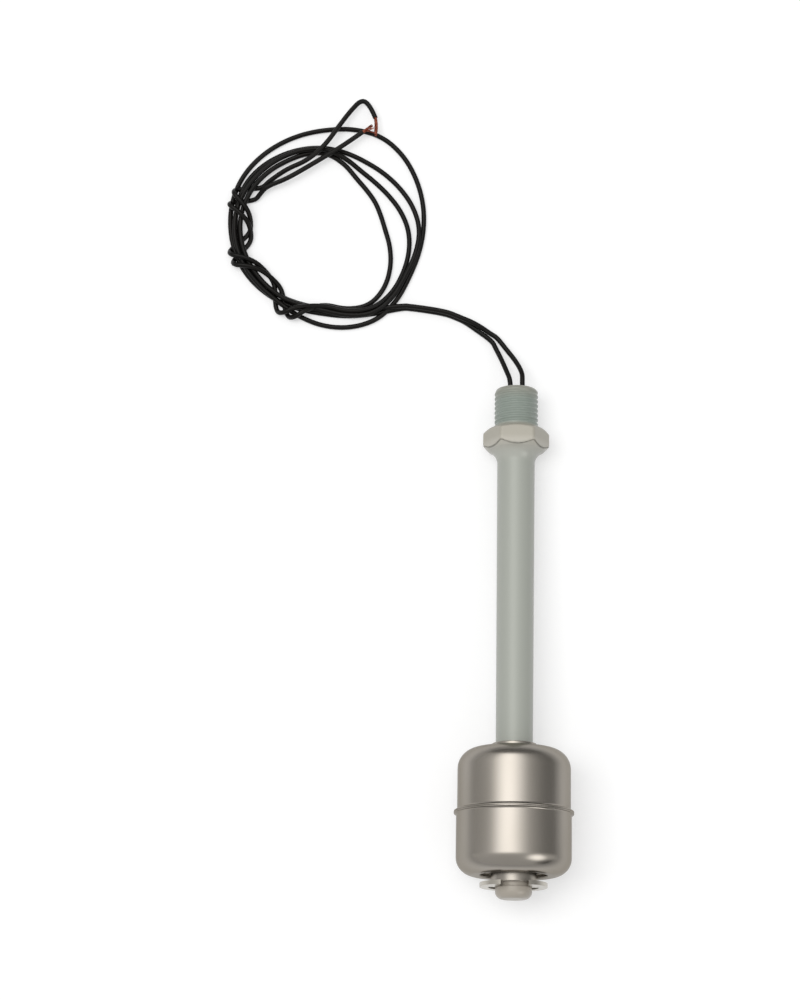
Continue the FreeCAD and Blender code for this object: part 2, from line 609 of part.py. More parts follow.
def check_and_write():
    """Stop on any failed feature or shape, then write one file for each sub-part."""
    DOC.recompute()
    for item in DOC.Objects:
        if {"Invalid", "Error"} & set(item.State):
            raise RuntimeError(f"{item.Label} failed: {item.State}")
        if item.TypeId in ("PartDesign::Pocket", "PartDesign::Groove"):
            if item.Shape.Volume >= item.BaseFeature.Shape.Volume:
                raise RuntimeError(f"{item.Label} removes nothing")
    pieces = [item for item in DOC.Objects if item.TypeId in ("PartDesign::Body", "Part::Feature")]
    os.makedirs("parts", exist_ok=True)
    for piece in pieces:
        if piece.Shape.isNull() or not piece.Shape.isValid() or len(piece.Shape.Solids) != 1:
            raise RuntimeError(f"{piece.Label} is not one sound solid")
    for piece in pieces:
        piece.Shape.exportStep(f"parts/{piece.Label}.step")
    print(f"{len(pieces)} sub-parts written")


make_stem()
make_clip()
make_upper_shell()
make_lower_shell()
make_tube()
make_magnet_and_retainers()
make_reed_glass()
make_blades()
make_return_wire()
make_inner_wiring("a", "-{wire_offset}")
make_inner_wiring("b", "{wire_offset}")
make_potting()
make_coil()
make_cords()
check_and_write()
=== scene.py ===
import json
import math

import bmesh
import bpy
import numpy as np
from mathutils import Matrix, Vector


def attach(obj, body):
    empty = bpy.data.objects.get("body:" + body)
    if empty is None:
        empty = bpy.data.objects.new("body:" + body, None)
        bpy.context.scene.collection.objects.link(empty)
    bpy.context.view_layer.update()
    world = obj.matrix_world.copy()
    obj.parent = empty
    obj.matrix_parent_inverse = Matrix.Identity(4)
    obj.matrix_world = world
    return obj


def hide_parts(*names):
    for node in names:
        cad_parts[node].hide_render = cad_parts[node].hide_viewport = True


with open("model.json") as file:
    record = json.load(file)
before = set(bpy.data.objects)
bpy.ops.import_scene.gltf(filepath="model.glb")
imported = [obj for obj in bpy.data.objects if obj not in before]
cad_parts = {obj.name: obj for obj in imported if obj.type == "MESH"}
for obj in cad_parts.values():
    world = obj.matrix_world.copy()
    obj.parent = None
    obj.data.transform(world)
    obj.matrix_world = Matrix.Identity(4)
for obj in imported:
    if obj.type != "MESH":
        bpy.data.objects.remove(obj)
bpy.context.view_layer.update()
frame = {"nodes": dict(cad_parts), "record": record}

MM = 0.001

# ---------------------------------------------------------------- the switch's own axis
# Heights are millimetres along the axis from the float's welded seam towards the thread.
RECORD = frame["record"]
AXIS = np.array(RECORD["behaviour"]["joints"][0]["axis"], dtype=float)
AXIS /= np.linalg.norm(AXIS)
ACROSS = np.array([1.0, 0.0, 0.0])
DOWN = np.cross(AXIS, ACROSS)
THREAD_MOUNT = next(mount for mount in RECORD["mounts"] if mount["name"] == "tank_thread")
COLLAR_TOP = 84.5
PLAIN_THREAD = THREAD_MOUNT["dims"]["length_mm"]
THREAD_R = THREAD_MOUNT["dims"]["r_mm"]
SEAM = np.array(THREAD_MOUNT["pos_m"]) - AXIS * (COLLAR_TOP + PLAIN_THREAD / 2) * MM
AXIS_LEAN = math.asin(-AXIS[2])

# ---------------------------------------------------------------- the stem's sizes, in millimetres
THREAD_PITCH = 25.4 / 24
THREAD_DEPTH = 0.3 * THREAD_PITCH
THREAD_LENGTH = 8.6
THREAD_CHAMFER = 1.03
THREAD_START_R = 3.95
STEM_END = COLLAR_TOP + THREAD_LENGTH
# The groove grows to its full depth over these lengths, from the collar and from the stem's end.
RUNOUT = 0.5
THREAD_FADE = 1.7
# The collar: its hexagon, the rise of its bevels, and the arc that flares into it from the shank.
HEX_HALF = 6.35
HEX_CORNER_R = 7.2
TOP_BEVEL = math.radians(30)
UNDER_FACE = 79.2
UNDER_R = 6.1
UNDER_BEVEL = 1.25 / 1.2324
EDGE_SOFTNESS = 0.25
FLARE_LENGTH = 3.0
STEM_TOP_R = 4.08
STEM_TIP_R = 3.89
TIP_REACH = -18.2
TIP_ROUND = 1.6
BORE_R = 2.4
BORE_END = -12.0
# The bore's mouth: the land round it, its broken edges, how far it stands out, and its first row's depth.
MOUTH_LAND = 0.15
MOUTH_EDGE = 0.12
MOUTH_RISE = 0.02
MOUTH_DEPTH = 1.0
DRILL_POINT = math.radians(59)
# The clip's groove: its play above the clip, its broken edges, and the shank's start above it.
CLIP_TOP = -14.81
CLIP_THICKNESS = 0.9
GROOVE_R = 3.5
GROOVE_PLAY = 0.06
GROOVE_EDGE = 0.08
SHANK_START = 0.3
# How finely each stretch of the stem is drawn, round it and along it.
STEM_COLUMNS = 240
SHANK_ROWS = 40
FLARE_ROWS = 22
BEVEL_ROWS = 8
SIDE_ROWS = 5
THREAD_ROWS = 121

# ---------------------------------------------------------------- the float's sizes, in millimetres
# The flange: how deep its seam lies, the rounding of its rim, and the flat between rim and bend.
FLANGE_R = 12.7
FLANGE_SEAM = 0.4
FLANGE_RIM = 0.11
FLANGE_LAND = 0.1
SHELL_WALL = 0.3
UPPER_R = 12.0
UPPER_HEIGHT = 13.55
UPPER_SHOULDER = 4.3
LOWER_R = 12.2
LOWER_HEIGHT = 13.3
LOWER_SHOULDER = 3.8
RECESS_R = 7.05
RECESS_DEPTH = 1.2
# The dish in the lower end: the roundings of its lip and its root, and of both inside.
DISH_LIP = 0.35
DISH_ROOT = 0.3
DISH_INSIDE = 0.1
TUBE_R = 4.45
TUBE_OUT = 4.78
TUBE_TOP = 14.65
TUBE_BOTTOM = -14.79
TUBE_TOP_ROUND = 0.15
TUBE_BOTTOM_ROUND = 0.12
FLOAT_COLUMNS = 256

# ---------------------------------------------------------------- light
FLOOR_REACH = 3.0
FLOOR_SHARE = 0.62
FLOOR_GLOW = 0.42
# In metal the floor is white near by and dims as the mirrored way grows between these two, in metres.
FLOOR_NEAR = 0.04
FLOOR_FAR = 0.12
ROOM_LIGHT = 0.62
ROOM_TINT = (1.0, 0.988, 0.97)
# What gloss mirrors, by degrees from overhead: left is negative, and beyond 90 is below the horizon.
ROOM_BANDS = [(-180, 0.7), (-90, 0.6), (-74, 0.62), (-55, 0.79), (-46, 1.1), (-38, 1.73), (-29, 2.46), (-21, 2.9),
              (-6, 2.9), (3, 2.28), (11, 1.73), (19, 1.23), (27, 0.84), (36, 0.64), (44, 0.52), (53, 0.4),
              (63, 0.32), (78, 0.28), (90, 0.32), (180, 0.7)]
# The bands' ends, by degrees from overhead along them: the level beyond, and the bands' share.
ROOM_ENDS = [(-90, 0.64, 0.0), (-30, 0.68, 0.0), (-8, 0.75, 0.0), (3, 0.9, 1.0), (25, 0.2, 1.0), (50, 0.2, 1.0),
             (57, 0.2, 0.0), (84, 0.22, 0.0), (90, 0.6, 0.0)]
# A small window and a dark corner low on the right: direction, spread in degrees, and level.
ROOM_PATCHES = [((0.66, -0.43, 0.61), 22, 3.0), ((0.74, -0.67, 0.05), 23, 0.06)]
ROOM_PEAK = 3.0
# A colour mix node's sockets, by number: the second colour's share, the two colours, and the result.
MIX_SHARE, MIX_FIRST, MIX_SECOND = 0, 6, 7
MIX_RESULT = 2
LAMP_AIM = Vector((-10 * MM, 30 * MM, 5 * MM))
LAMP_PLACE = (-0.24, 0.05, 0.92)
LAMP_SIZE = (0.4, 0.7)
LAMP_POWER = 4.3


# ---------------------------------------------------------------- shapes
def lay(across, down, along):
    """Points given across, down and along the switch's axis in millimetres, in the row frame in metres."""
    across, down, along = np.broadcast_arrays(across, down, along)
    return SEAM + MM * (across[..., None] * ACROSS + down[..., None] * DOWN + along[..., None] * AXIS)


def mesh_object(name, points, faces, sharp_degrees=35):
    """A mesh piece with merged doubles, outward faces and smooth shading between its sharp edges."""
    mesh = bpy.data.meshes.new(name)
    mesh.from_pydata(points.reshape(-1, 3).tolist(), [], faces)
    work = bmesh.new()
    work.from_mesh(mesh)
    bmesh.ops.remove_doubles(work, verts=work.verts, dist=1e-7)
    bmesh.ops.dissolve_degenerate(work, edges=work.edges, dist=1e-8)
    bmesh.ops.recalc_face_normals(work, faces=work.faces)
    if work.calc_volume(signed=True) < 0:
        bmesh.ops.reverse_faces(work, faces=work.faces)
    work.to_mesh(mesh)
    work.free()
    mesh.shade_smooth()
    mesh.set_sharp_from_angle(angle=math.radians(sharp_degrees))
    piece = bpy.data.objects.new(name, mesh)
    bpy.context.collection.objects.link(piece)
    return piece


def grid_faces(rows, columns, rows_close):
    """Quads of a grid whose columns close round, and whose rows close too if asked."""
    row = np.arange(rows if rows_close else rows - 1)[:, None]
    column = np.arange(columns)[None, :]
    next_row = (row + 1) % rows
    next_column = (column + 1) % columns
    corners = [row * columns + column, row * columns + next_column,
               next_row * columns + next_column, next_row * columns + column]
    return np.stack([np.broadcast_to(corner, (row.size, columns)) for corner in corners], -1).reshape(-1, 4).tolist()


def rounded(corners, step_degrees=9):
    """A profile of (radius, height) corners, each with its rounding: arcs tangent to both its sides."""
    corners = np.array(corners, dtype=float)
    points = [corners[0, :2]]
    for before, corner, after in zip(corners, corners[1:], corners[2:]):
        if corner[2] == 0:
            points.append(corner[:2])
            continue
        into = corner[:2] - before[:2]
        out = after[:2] - corner[:2]
        into, out = into / np.linalg.norm(into), out / np.linalg.norm(out)
        turn = math.atan2(into[0] * out[1] - into[1] * out[0], into @ out)
        setback = corner[2] * math.tan(abs(turn) / 2)
        side = np.array([-into[1], into[0]]) * math.copysign(1, turn)
        centre = corner[:2] - into * setback + side * corner[2]
        steps = max(2, math.ceil(math.degrees(abs(turn)) / step_degrees))
        angles = np.linspace(0, turn, steps + 1)[:, None]
        arm = -side * corner[2]
        square = np.array([-arm[1], arm[0]])
        points += list(centre + (arm * np.cos(angles) + square * np.sin(angles)))
    points.append(corners[-1, :2])
    return np.array(points)


def revolved(name, profile, columns):
    """A closed profile of (radius, height) carried round the axis.

    Each point stands across and down at its radius times the cosine and sine of the angle.
    """
    angle = np.linspace(0, 2 * math.pi, columns, endpoint=False)
    radius, height = profile[:, :1], profile[:, 1:]
    points = lay(radius * np.cos(angle), radius * np.sin(angle), height)
    return mesh_object(name, points, grid_faces(len(profile), columns, True))


def smooth_steps(values, count):
    """Values at even steps, filled in between by a cubic through each four neighbours."""
    values = np.asarray(values, dtype=float)
    padded = np.concatenate([[2 * values[0] - values[1]], values, [2 * values[-1] - values[-2]]])
    place = np.linspace(0, len(values) - 1, count)
    index = np.minimum(place.astype(int), len(values) - 2)
    t = place - index
    before, start, finish, after = (padded[index + shift] for shift in range(4))
    return 0.5 * (2 * start + (finish - before) * t + (2 * before - 5 * start + 4 * finish - after) * t**2
                  + (3 * start - before - 3 * finish + after) * t**3)


# ---------------------------------------------------------------- camera
# Looking down steeply onto the floor, turned a little about the vertical.
CAMERA_RISE = math.radians(79.7)
CAMERA_TURN = math.radians(0.93)
CAMERA_DISTANCE = 612.7 * MM
CAMERA_TARGET = Vector((-25.15 * MM, 31.47 * MM, 0.55 * MM))
CAMERA_LENS = 100.44
CAMERA_SENSOR = 36


def make_camera():
    """The camera at its distance from the target, turned about the vertical."""
    data = bpy.data.cameras.new("camera")
    data.sensor_fit = "VERTICAL"
    data.sensor_height = CAMERA_SENSOR
    data.lens = CAMERA_LENS
    camera = bpy.data.objects.new("camera", data)
    rise, turn = CAMERA_RISE, CAMERA_TURN
    heading = Vector((-math.sin(turn) * math.cos(rise), math.cos(turn) * math.cos(rise), -math.sin(rise)))
    right = Vector((math.cos(turn), math.sin(turn), 0))
    above = right.cross(heading)
    facing = Matrix((right, above, -heading)).transposed().to_4x4()
    camera.matrix_world = Matrix.Translation(CAMERA_TARGET - heading * CAMERA_DISTANCE) @ facing
    bpy.context.collection.objects.link(camera)
    bpy.context.scene.camera = camera


# ---------------------------------------------------------------- the two loose wires, in millimetres
WIRE_R = 0.55
WIRE_OFFSET = 1.3
STRAIGHT_OUT = 4 * WIRE_R
STRAND_R = 0.125
COIL_CENTRE = np.array([-42.8, 92.86])
COIL_START = -60.0
STEPS_PER_TURN = 24
# Reach of each turn from the coil's centre, every 30 degrees clockwise from COIL_START.
TURN_A = [22.3, 19.5, 19.6, 20.6, 21.2, 22.05, 22.15, 22.85, 24.7, 23.2, 21.85, 21.7,
          23.9, 22.35, 19.9, 20.0, 20.3, 19.7, 18.9, 18.05, 15.35, 15.9, 18.5, 20.1, 21.4, 17.75]
TURN_B = [21.1, 18.3, 18.4, 19.4, 20.0, 20.7, 19.6, 18.6, 17.75, 19.0, 21.0, 20.85,
          22.5, 18.9, 18.7, 18.8, 19.0, 18.6, 17.7, 17.45, 13.35, 12.6, 13.2, 16.95, 20.2, 17.2]
# Height of each turn's middle at the same places.
LIFT_A = [0.6, 0.6, 0.6, 1.3, 1.3, 0.6, 0.6, 0.6, 0.6, 0.6, 0.6, 0.6,
          0.7, 0.6, 1.5, 2.2, 2.2, 1.6, 1.6, 1.55, 0.6, 0.6, 0.6, 0.6, 1.7, 1.7]
LIFT_B = [0.6, 0.6, 0.6, 1.3, 1.3, 0.6, 0.6, 0.6, 0.6, 0.6, 1.3, 1.35,
          1.7, 1.6, 1.6, 2.2, 2.2, 1.6, 1.2, 0.6, 0.6, 0.6, 0.6, 0.6, 0.6, 0.6]
# The last stretch is wound round the others. Each winding starts where it crosses over them, in degrees.
WINDING_STARTS_A = [-109.0, -158.0, -196.0, -233.0]
WINDING_STARTS_B = [-102.0, -151.5, -189.0, -218.0]
# Within a winding: share of the way to the next, reach from the others' middle, and height.
WINDING = [(0.0, 0.1, 3.2), (0.07, 1.7, 3.0), (0.13, 2.3, 2.1), (0.18, 2.2, 0.95), (0.25, 1.0, 0.6),
           (0.34, -1.2, 0.6), (0.46, -2.9, 0.8), (0.63, -3.2, 1.4), (0.81, -2.6, 2.5), (0.92, -1.4, 3.05)]
# How many of these points the last winding has, and the reach of the others' middle from the coil's centre.
LAST_WINDING = 8
BUNDLE_REACH = 19.8

# From the stem the wires come down to the floor, meet, and lie one on the other, leaning, before the coil.
LEAD_A = [(-2.1, 59.9, 4.2), (-3.3, 63.1, 2.6), (-4.7, 66.1, 1.5)]
LEAD_B = [(1.3, 59.7, 4.4), (-0.1, 62.6, 3.0), (-2.2, 65.5, 1.8)]
PAIR_LINE = [(-4.67, 67.72), (-7.87, 69.98), (-10.01, 71.36), (-12.14, 72.41), (-15.35, 73.67), (-18.56, 74.24),
             (-21.74, 74.66), (-24.94, 75.0), (-28.12, 75.11)]
PAIR_HEIGHT = 1.12
PAIR_REACH = 0.57
PARTING = 1.3
PAIR_STEP = 1.7
# They lean from side by side to this many degrees, between two distances along their line.
PAIR_LEAN = 75
LEAN_FROM = 1.9
LEAN_TO = 8.5

TAIL_A = [(-51.6, 106.0, 2.6), (-47.2, 107.8, 3.05), (-43.3, 111.4, 3.0),
          (-40.35, 115.8, 2.95), (-37.7, 119.8, 2.3), (-35.1, 122.9, 1.7), (-33.1, 120.9, 1.8),
          (-32.1, 118.3, 2.2)]
TAIL_B = [(-56.0, 101.9, 2.5), (-51.9, 103.4, 3.0), (-47.8, 105.9, 3.05),
          (-43.6, 108.6, 3.0), (-39.4, 111.3, 2.98), (-34.85, 114.7, 3.0)]
COPPER_A = [(-32.1, 118.3, 2.2), (-31.7, 116.4, 2.45), (-32.0, 114.1, 2.9)]
COPPER_B = [(-34.85, 114.7, 3.0), (-33.7, 115.45, 3.02), (-32.6, 116.1, 3.0)]
# How far each of a bare end's seven strands strays at its tip, in millimetres.
SPLAY_A = [(0, 0, 0), (0.1, -0.1, 0), (0.16, 0.1, 0.05), (-0.05, 0, 0.1), (-0.15, 0.05, 0),
           (-0.1, -0.2, -0.05), (0.05, 0, -0.1)]
SPLAY_B = [(0, 0, 0), (-0.12, 0.2, 0), (-0.05, 0.1, 0.05), (0.1, -0.2, 0), (0.5, -1.3, -0.75),
           (0.15, -0.45, -0.2), (0.05, -0.1, 0)]


def around_coil(degrees, reach, lift):
    """A point of the coil, in millimetres: reach from its centre in a direction, at a height."""
    radians = math.radians(degrees)
    return (COIL_CENTRE[0] + reach * math.cos(radians), COIL_CENTRE[1] + reach * math.sin(radians), lift)


def coil_points(reaches, lifts):
    """Two loose turns and the start of a third, clockwise, with a point every 15 degrees.

    The reach allows for the spline, which passes inside its points.
    """
    count = 2 * len(reaches) - 1
    cut = 0.75 + 0.25 * math.cos(2 * math.pi / STEPS_PER_TURN)
    directions = COIL_START - np.arange(count) * 360 / STEPS_PER_TURN
    return [around_coil(direction, reach / cut, lift) for direction, reach, lift
            in zip(directions, smooth_steps(reaches, count), smooth_steps(lifts, count))]


def winding_points(starts):
    """The last stretch, wound round the turns below it: the same winding between each two starts."""
    points = []
    for start, finish in zip(starts, starts[1:]):
        for share, reach, lift in WINDING:
            points.append(around_coil(start + (finish - start) * share, BUNDLE_REACH + reach, lift))
    return points[:len(points) - len(WINDING) + LAST_WINDING]


def pair_points(side):
    """One wire of the pair: beside the other where they meet, then over or under it, leaning a little to its side."""
    line = np.array(PAIR_LINE)
    run = np.concatenate([[0], np.cumsum(np.linalg.norm(np.diff(line, axis=0), axis=1))])
    stations = np.arange(0, run[-1] - PAIR_STEP, PAIR_STEP)
    middle = np.stack([np.interp(stations, run, line[:, 0]), np.interp(stations, run, line[:, 1])], -1)
    way = np.gradient(middle, stations, axis=0)
    way /= np.linalg.norm(way, axis=1, keepdims=True)
    lean = np.radians(np.interp(stations, (LEAN_FROM, LEAN_TO), (0, PAIR_LEAN)))
    reach = side * np.where(stations > 0, PAIR_REACH, PARTING * PAIR_REACH)
    beside = reach * np.cos(lean)
    return [tuple(point) for point in np.stack([middle[:, 0] - beside * way[:, 1], middle[:, 1] + beside * way[:, 0],
                                                PAIR_HEIGHT - reach * np.sin(lean)], -1)]


def make_wire(letter, side, lead, turns, starts, tail):
    """One insulated wire: its lead, two turns, the wound stretch and its tail, as one spline."""
    exit_point = lay(side * WIRE_OFFSET, 0.0, STEM_END)
    straight = lay(side * WIRE_OFFSET, 0.0, STEM_END + STRAIGHT_OUT)
    route = [tuple(exit_point), tuple(straight)]
    route += [tuple(MM * value for value in point)
              for point in lead + pair_points(-side) + turns + winding_points(starts) + tail]
    curve = bpy.data.curves.new(f"wire_{letter}", "CURVE")
    curve.dimensions = "3D"
    curve.bevel_depth = 1.0
    curve.bevel_resolution = 4
    curve.resolution_u = 5
    curve.use_fill_caps = True
    spline = curve.splines.new("NURBS")
    spline.points.add(len(route) - 1)
    spline.points.foreach_set("co", np.hstack([route, np.ones((len(route), 1))]).ravel())
    spline.points.foreach_set("radius", [WIRE_R * MM] * len(route))
    spline.order_u = 3
    spline.use_endpoint_u = True
    wire = bpy.data.objects.new(f"wire_{letter}", curve)
    bpy.context.collection.objects.link(wire)
    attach(wire, "stem")
    return wire, tuple(exit_point), np.array(route)


def spline_length(route):
    """Length of the quadratic spline with these control points: each span's curve in short steps."""
    t = np.linspace(0, 1, 9)[:, None]
    middles = (route[:-1] + route[1:]) / 2
    middles[0], middles[-1] = route[0], route[-1]
    spans = []
    for start, control, finish in zip(middles[:-1], route[1:-1], middles[1:]):
        spans.append((1 - t) ** 2 * start + 2 * t * (1 - t) * control + t**2 * finish)
    line = np.concatenate(spans)
    return float(np.linalg.norm(np.diff(line, axis=0), axis=1).sum())


def square_to(route):
    """At each point of a route, the level direction square to it, and the direction square to both."""
    run = np.gradient(route, axis=0)
    run /= np.linalg.norm(run, axis=1, keepdims=True)
    side = np.cross(run, [0.0, 0.0, 1.0])
    side /= np.linalg.norm(side, axis=1, keepdims=True)
    return side, np.cross(side, run)


def swept(name, routes, radius, sides=10):
    """Round strands with closed ends: each route's point carries a ring of that radius, square to the route.

    The ring is the cosine of the angle to the side and its sine upwards, times the radius.
    """
    around = np.linspace(0, 2 * math.pi, sides, endpoint=False)[None, :, None]
    points, faces, count = [], [], 0
    for route in routes:
        side, above = square_to(route)
        ring = route[:, None] + radius * (np.cos(around) * side[:, None] + np.sin(around) * above[:, None])
        rows = len(route)
        points.append(ring.reshape(-1, 3))
        faces += (np.array(grid_faces(rows, sides, False)) + count).tolist()
        faces.append(list(range(count, count + sides)))
        faces.append(list(range(count + (rows - 1) * sides, count + rows * sides)))
        count += rows * sides
    return mesh_object(name, np.concatenate(points) * MM, faces, 50)


# ---------------------------------------------------------------- the stem, its thread and its collar
def hexagon_reach(angle):
    """Distance from the axis to the collar's side in each direction: six flats, with their corners broken."""
    from_flat = (angle - math.pi / 2 + math.pi / 6) % (math.pi / 3) - math.pi / 6
    return np.minimum(HEX_HALF / np.cos(from_flat), HEX_CORNER_R)


def thread_reach(angle, height):
    """The thread's surface: a rounded groove that rises one pitch in each turn, right-handed.

    Its depth follows a cosine of the height and the angle. It fades out at the collar and in the rounded end.
    """
    place = (height - STEM_END) / THREAD_PITCH - angle / (2 * math.pi)
    depth = THREAD_DEPTH * (0.5 + 0.5 * np.cos(2 * math.pi * place))
    fade = np.clip((height - COLLAR_TOP) / RUNOUT, 0, 1) * np.clip((STEM_END - height) / THREAD_FADE, 0, 1)
    from_end = np.clip((STEM_END - height) / THREAD_CHAMFER, 0, 1)
    end = THREAD_START_R + (THREAD_R - THREAD_START_R) * np.sqrt(from_end * (2 - from_end))
    return end - depth * fade


def tip_rows():
    """The stem's rounded tip and the clip's groove, as rows of (radius, height)."""
    rows = [tuple(row) for row in rounded([(0, TIP_REACH, 0), (STEM_TIP_R, TIP_REACH, TIP_ROUND),
                                           (STEM_TIP_R, CLIP_TOP, 0)])[:-1]]
    below, above, edge = CLIP_TOP - CLIP_THICKNESS, CLIP_TOP + GROOVE_PLAY, GROOVE_EDGE
    return rows + [(STEM_TIP_R, below - edge), (STEM_TIP_R - edge, below), (GROOVE_R, below),
                   (GROOVE_R, above), (STEM_TIP_R - edge, above), (STEM_TIP_R, above + edge)]


def shank_rows():
    """The shank, which widens evenly upwards, and the flare: an arc that leaves the shank without an edge."""
    start = CLIP_TOP + GROOVE_PLAY
    flare_start = UNDER_FACE - FLARE_LENGTH
    rows = [(STEM_TIP_R + (STEM_TOP_R - STEM_TIP_R) * share,
             start + SHANK_START + (flare_start - start - SHANK_START) * share)
            for share in np.linspace(0, 1, SHANK_ROWS)]
    sweep = UNDER_R - STEM_TOP_R
    bend = (sweep**2 + FLARE_LENGTH**2) / (2 * sweep)
    rise = np.linspace(0, FLARE_LENGTH, FLARE_ROWS)[1:]
    return rows + list(zip(STEM_TOP_R + bend - np.sqrt(bend**2 - rise**2), flare_start + rise))


def collar_rows(side):
    """The collar between its two bevels, which run from the flare out to the sides and in again to the thread.

    side is the distance to the hexagon's side in each direction, so that each bevel meets it in a curve.
    """
    under = UNDER_FACE + (side - UNDER_R) * UNDER_BEVEL
    crown = COLLAR_TOP - (side - THREAD_R) * math.tan(TOP_BEVEL)
    soft = EDGE_SOFTNESS
    rows = [(UNDER_R + (side - UNDER_R) * share, UNDER_FACE + (under - UNDER_FACE) * share)
            for share in np.linspace(0.05, 0.95, BEVEL_ROWS)]
    rows += [(side - soft, under - soft * UNDER_BEVEL), (side - soft * 0.25, under + soft * 0.3),
             (side, under + soft)]
    rows += [(side, under + (crown - under) * share) for share in np.linspace(0.15, 0.85, SIDE_ROWS)]
    rows += [(side, crown - soft), (side - soft * 0.25, crown - soft * 0.3),
             (side - soft, crown + soft * math.tan(TOP_BEVEL))]
    return rows + [(side + (THREAD_R - side) * share, crown + (COLLAR_TOP - crown) * share)
                   for share in np.linspace(0.1, 0.95, BEVEL_ROWS)]


def make_stem():
    """The stem as rows of (radius, height) from its tip up and down the bore, carried round the axis.

    A row's radius and height may differ with the angle. Each point stands across and down at its radius times
    the cosine and sine of the angle.
    """
    angle = np.linspace(0, 2 * math.pi, STEM_COLUMNS, endpoint=False)
    mouth = STEM_END + MOUTH_RISE
    rows = tip_rows() + shank_rows() + collar_rows(hexagon_reach(angle))
    rows += [(thread_reach(angle, height), height) for height in np.linspace(COLLAR_TOP, STEM_END, THREAD_ROWS)]
    rows += [(THREAD_START_R - MOUTH_EDGE, mouth), (BORE_R + MOUTH_LAND, mouth), (BORE_R, STEM_END - MOUTH_EDGE),
             (BORE_R, STEM_END - MOUTH_DEPTH), (BORE_R, BORE_END), (0.0, BORE_END - BORE_R / math.tan(DRILL_POINT))]
    radius, height = (np.array([np.broadcast_to(row[place], angle.shape) for row in rows]) for place in (0, 1))
    points = lay(radius * np.cos(angle), radius * np.sin(angle), height)
    stem = mesh_object("stem", points, grid_faces(len(rows), STEM_COLUMNS, False), 36)
    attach(stem, "stem")
    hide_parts("stem_body")
    return stem


# ---------------------------------------------------------------- the float
def upper_profile():
    """The upper pressing: outwards along the flange, up the side, over the shoulder and back along the inside."""
    wall, inner, bend = SHELL_WALL, FLANGE_R - FLANGE_SEAM, FLANGE_R - UPPER_R - FLANGE_LAND
    return rounded([
        (inner, 0.0, 0), (FLANGE_R, 0.0, FLANGE_RIM), (FLANGE_R, wall, FLANGE_RIM), (UPPER_R, wall, bend),
        (UPPER_R, UPPER_HEIGHT, UPPER_SHOULDER), (TUBE_OUT, UPPER_HEIGHT, 0), (TUBE_OUT, UPPER_HEIGHT - wall, 0),
        (UPPER_R - wall, UPPER_HEIGHT - wall, UPPER_SHOULDER - wall), (UPPER_R - wall, 0.0, bend + wall),
        (inner, 0.0, 0)], 4)[:-1]


def lower_profile():
    """The lower pressing: as the upper one, but downwards, with a dish pressed into its end."""
    wall, inner, bend = SHELL_WALL, FLANGE_R - FLANGE_SEAM, FLANGE_R - LOWER_R - FLANGE_LAND
    dish = -LOWER_HEIGHT + RECESS_DEPTH
    return rounded([
        (inner, 0.0, 0), (FLANGE_R, 0.0, FLANGE_RIM), (FLANGE_R, -wall, FLANGE_RIM), (LOWER_R, -wall, bend),
        (LOWER_R, -LOWER_HEIGHT, LOWER_SHOULDER), (RECESS_R, -LOWER_HEIGHT, DISH_LIP),
        (RECESS_R, dish, DISH_ROOT), (TUBE_OUT, dish, 0), (TUBE_OUT, dish + wall, 0),
        (RECESS_R + wall, dish + wall, DISH_INSIDE), (RECESS_R + wall, -LOWER_HEIGHT + wall, DISH_INSIDE),
        (LOWER_R - wall, -LOWER_HEIGHT + wall, LOWER_SHOULDER - wall), (LOWER_R - wall, 0.0, bend + wall),
        (inner, 0.0, 0)], 4)[:-1]


def tube_profile():
    """The float's tube: down the inside, out, up the outside and in again, with its four edges rounded."""
    return rounded([
        (TUBE_R, 0.0, 0), (TUBE_R, TUBE_BOTTOM, TUBE_BOTTOM_ROUND), (TUBE_OUT, TUBE_BOTTOM, TUBE_BOTTOM_ROUND),
        (TUBE_OUT, TUBE_TOP, TUBE_TOP_ROUND), (TUBE_R, TUBE_TOP, TUBE_TOP_ROUND), (TUBE_R, 0.0, 0)], 15)[:-1]


def make_float():
    """The float's two pressings and its tube, each a closed profile of sheet carried round the axis."""
    made = []
    for name, profile, node in (("float_upper", upper_profile(), "float_upper_shell"),
                                ("float_lower", lower_profile(), "float_lower_shell"),
                                ("float_tube", tube_profile(), "float_inner_tube")):
        piece = revolved(name, profile, FLOAT_COLUMNS)
        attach(piece, "float")
        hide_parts(node)
        made.append(piece)
    return made


# ---------------------------------------------------------------- the bare ends of the wires
def make_copper_end(letter, ends, turns, splay):
    """Seven strands laid round one another along a parabola, which part towards their tips.

    ends: the parabola's start, control and finish in millimetres.  splay: each strand's own way at its tip.
    """
    t = np.linspace(0, 1, 28)[:, None]
    start, control, finish = (np.array(point) for point in ends)
    middle = (1 - t) ** 2 * start + 2 * t * (1 - t) * control + t**2 * finish
    side, above = square_to(middle)
    routes = [middle + np.array(splay[0]) * t**2]
    for strand, stray in enumerate(splay[1:]):
        turn = strand * math.pi / 3 + 2 * math.pi * turns * t
        laid = 2 * STRAND_R * (np.cos(turn) * side + np.sin(turn) * above)
        routes.append(middle + laid + np.array(stray) * t**2)
    piece = swept(f"copper_{letter}", routes, STRAND_R)
    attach(piece, "stem")
    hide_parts(f"wire_{letter}_copper_end")
    return piece


# ---------------------------------------------------------------- finishes
def linear(code):
    """An sRGB hex colour as linear red, green, blue and full alpha."""
    values = [int(code[place:place + 2], 16) / 255 for place in (0, 2, 4)]
    return (*(v / 12.92 if v <= 0.04045 else ((v + 0.055) / 1.055) ** 2.4 for v in values), 1.0)


